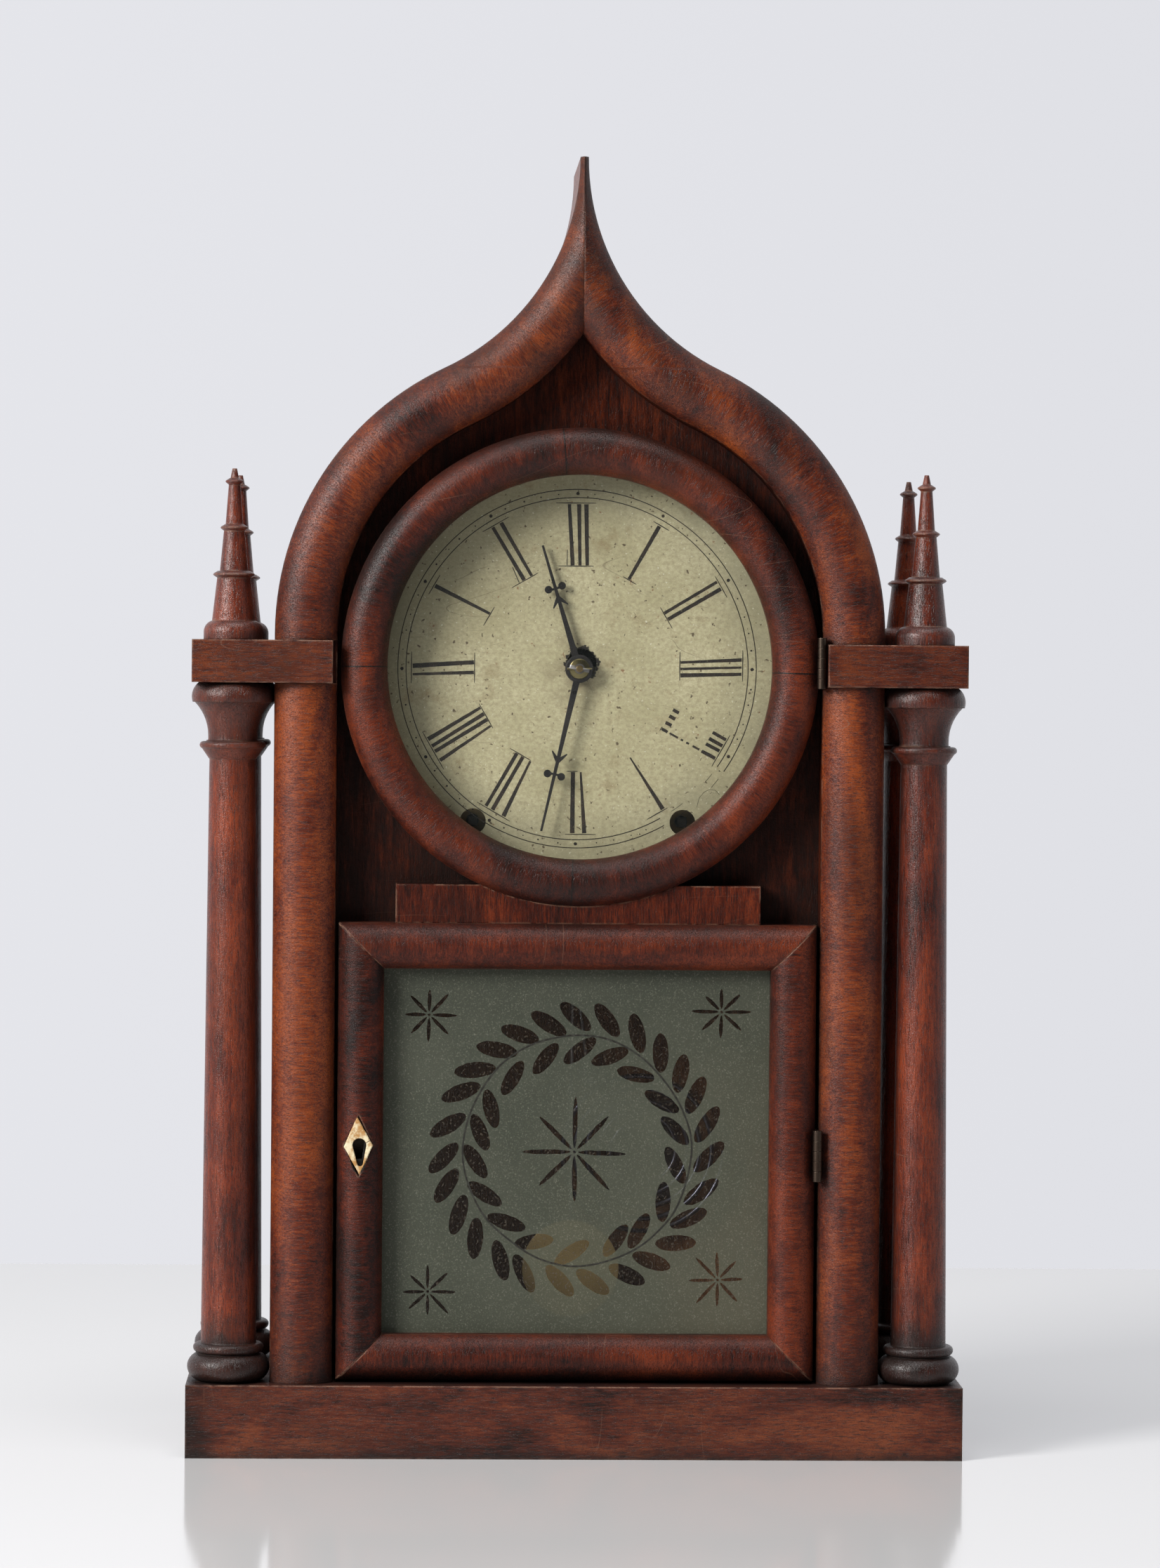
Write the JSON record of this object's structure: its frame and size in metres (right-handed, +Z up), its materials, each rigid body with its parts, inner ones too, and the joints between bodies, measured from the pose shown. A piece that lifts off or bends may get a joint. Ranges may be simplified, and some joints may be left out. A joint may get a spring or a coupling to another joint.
{
  "type": "onion top shelf clock",
  "caption": "Onion-topped wooden shelf clock with round dial, glazed hinged door, turned corner columns and spires, spring-driven striking movement, pendulum and gong.",
  "frame": {"origin": "middle of the base board's underside, on the surface that the clock stands on", "axes": "+X to the viewer's right, +Y to the back of the case, so the dial faces -Y, and +Z up"},
  "size_m": [0.34, 0.118, 0.5695],
  "materials": {
    "case_veneer": "dark polished mahogany veneer",
    "panel_wood": "worn reddish-brown veneer",
    "door_veneer": "dark polished rosewood veneer",
    "turned_wood": "turned and ebonised",
    "pine": "bare, darkened with age",
    "dial_paint": "aged cream paint on tin",
    "clear_glass": "clear",
    "frosted_glass": "frosted with a clear cut pattern",
    "bone": "aged bone",
    "hinge_iron": "brown patina",
    "lock_iron": "dark",
    "hand_steel": "blackened",
    "clock_brass": "lacquered",
    "bright_steel": "bright",
    "bob_brass": "tarnished",
    "blued_steel": "blued",
    "cast_block": "japanned"
  },
  "bodies": {
    "case": {"base_board": "case_veneer", "case_side_left": "case_veneer", "case_side_right": "case_veneer", "roof_left": "case_veneer", "roof_right": "case_veneer", "back_board": "pine", "front_frame": "case_veneer", "front_panel": "panel_wood", "rail_left": "case_veneer", "rail_right": "case_veneer", "arch_moulding_left": "case_veneer", "arch_moulding_right": "case_veneer", "cap_block_left": "case_veneer", "cap_block_right": "case_veneer", "columns_left": "turned_wood", "columns_right": "turned_wood", "spires_left": "turned_wood", "spires_right": "turned_wood", "dial_plate": "dial_paint", "movement_strips": "pine", "hinge_case_leaves": "hinge_iron", "movement_plate_front": "clock_brass", "movement_plate_back": "clock_brass", "movement_pillars": "clock_brass", "mainsprings": "blued_steel", "gong": "blued_steel", "gong_block": "cast_block"},
    "door": {"door_stile_left": "door_veneer", "door_stile_right": "door_veneer", "door_rail_top": "door_veneer", "door_rail_bottom": "door_veneer", "door_neck": "panel_wood", "bezel_ring": "door_veneer", "dial_glass": "clear_glass", "tablet_glass": "frosted_glass", "glass_strips": "pine", "escutcheon": "bone", "lock_case": "lock_iron", "hinge_door_leaves": "hinge_iron"},
    "bolt": {"lock_bolt": "lock_iron"},
    "minute_arbor": {"centre_wheel": "clock_brass", "minute_hand": "hand_steel", "hand_pin": "clock_brass"},
    "hour_pipe": {"hour_wheel": "clock_brass", "hour_hand": "hand_steel"},
    "minute_wheel": {"minute_wheel": "clock_brass"},
    "second_wheel": {"second_wheel": "clock_brass"},
    "time_great_wheel": {"time_great_wheel": "clock_brass"},
    "third_wheel": {"third_wheel": "clock_brass"},
    "escape_wheel": {"escape_wheel": "clock_brass"},
    "time_winding_arbor": {"time_winding_arbor": "bright_steel"},
    "strike_great_wheel": {"strike_great_wheel": "clock_brass"},
    "strike_winding_arbor": {"strike_winding_arbor": "bright_steel"},
    "pin_wheel": {"pin_wheel": "clock_brass"},
    "strike_fly": {"strike_fly": "clock_brass"},
    "count_wheel": {"count_wheel": "clock_brass"},
    "hammer": {"hammer": "bright_steel"},
    "pendulum": {"pendulum_rod": "bright_steel", "pendulum_bob": "bob_brass"},
    "verge": {"verge": "bright_steel"}
  },
  "joints": [
    {"name": "door_swing", "type": "hinge", "parent": "case", "child": "door", "pos_m": [0.10555, -0.0535, 0.2411], "axis": [0, 0, 1], "range_deg": [0, 100]},
    {"name": "bolt_slide", "type": "slide", "parent": "door", "child": "bolt", "axis": [-1, 0, 0], "range_m": [0, 0.0036]},
    {"name": "minute_turn", "type": "hinge", "parent": "case", "child": "minute_arbor", "pos_m": [0, 0, 0.3458], "axis": [0, 1, 0], "continuous": true},
    {"name": "hour_turn", "type": "hinge", "parent": "case", "child": "hour_pipe", "pos_m": [0, 0, 0.3458], "axis": [0, 1, 0], "continuous": true},
    {"name": "minute_wheel_turn", "type": "hinge", "parent": "case", "child": "minute_wheel", "pos_m": [0.01474, 0, 0.33548], "axis": [0, 1, 0], "continuous": true},
    {"name": "second_wheel_turn", "type": "hinge", "parent": "case", "child": "second_wheel", "pos_m": [0.02988, 0, 0.32073], "axis": [0, 1, 0], "continuous": true},
    {"name": "time_great_turn", "type": "hinge", "parent": "case", "child": "time_great_wheel", "pos_m": [0.04629, 0, 0.27819], "axis": [0, 1, 0], "continuous": true},
    {"name": "third_wheel_turn", "type": "hinge", "parent": "case", "child": "third_wheel", "pos_m": [-0.0157, 0, 0.36589], "axis": [0, 1, 0], "continuous": true},
    {"name": "escape_wheel_turn", "type": "hinge", "parent": "case", "child": "escape_wheel", "pos_m": [0, 0, 0.37954], "axis": [0, 1, 0], "continuous": true},
    {"name": "time_wind", "type": "hinge", "parent": "case", "child": "time_winding_arbor", "pos_m": [0.04629, 0, 0.27819], "axis": [0, 1, 0], "continuous": true},
    {"name": "strike_great_turn", "type": "hinge", "parent": "case", "child": "strike_great_wheel", "pos_m": [-0.04629, 0, 0.27819], "axis": [0, 1, 0], "continuous": true},
    {"name": "strike_wind", "type": "hinge", "parent": "case", "child": "strike_winding_arbor", "pos_m": [-0.04629, 0, 0.27819], "axis": [0, 1, 0], "continuous": true},
    {"name": "pin_wheel_turn", "type": "hinge", "parent": "case", "child": "pin_wheel", "pos_m": [-0.02988, 0, 0.32073], "axis": [0, 1, 0], "continuous": true},
    {"name": "fly_turn", "type": "hinge", "parent": "case", "child": "strike_fly", "pos_m": [-0.03808, 0, 0.34328], "axis": [0, 1, 0], "continuous": true},
    {"name": "count_wheel_turn", "type": "hinge", "parent": "case", "child": "count_wheel", "pos_m": [-0.04275, 0, 0.33911], "axis": [0, 1, 0], "continuous": true},
    {"name": "hammer_lift", "type": "hinge", "parent": "case", "child": "hammer", "pos_m": [-0.01029, 0, 0.30019], "axis": [0, 1, 0], "range_deg": [0, 12], "stiffness_Nm_per_rad": 0.02, "springref_deg": -5.73},
    {"name": "pendulum_swing", "type": "hinge", "parent": "case", "child": "pendulum", "pos_m": [0, 0.0191, 0.40304], "axis": [0, 1, 0], "range_deg": [-3, 3]},
    {"name": "verge_rock", "type": "hinge", "parent": "case", "child": "verge", "pos_m": [0, 0, 0.40154], "axis": [0, 1, 0], "range_deg": [-3, 3]}
  ],
  "couplings": [
    {"joint": "hour_turn", "follows": "minute_turn", "ratio": 0.083333},
    {"joint": "minute_wheel_turn", "follows": "minute_turn", "ratio": -0.33333},
    {"joint": "second_wheel_turn", "follows": "minute_turn", "ratio": -0.18182},
    {"joint": "time_great_turn", "follows": "minute_turn", "ratio": 0.025974},
    {"joint": "third_wheel_turn", "follows": "minute_turn", "ratio": -7.5},
    {"joint": "escape_wheel_turn", "follows": "minute_turn", "ratio": 52.5},
    {"joint": "pin_wheel_turn", "follows": "strike_great_turn", "ratio": -7},
    {"joint": "fly_turn", "follows": "strike_great_turn", "ratio": 63},
    {"joint": "count_wheel_turn", "follows": "strike_great_turn", "ratio": 0.93333},
    {"joint": "verge_rock", "follows": "pendulum_swing", "ratio": 1}
  ]
}
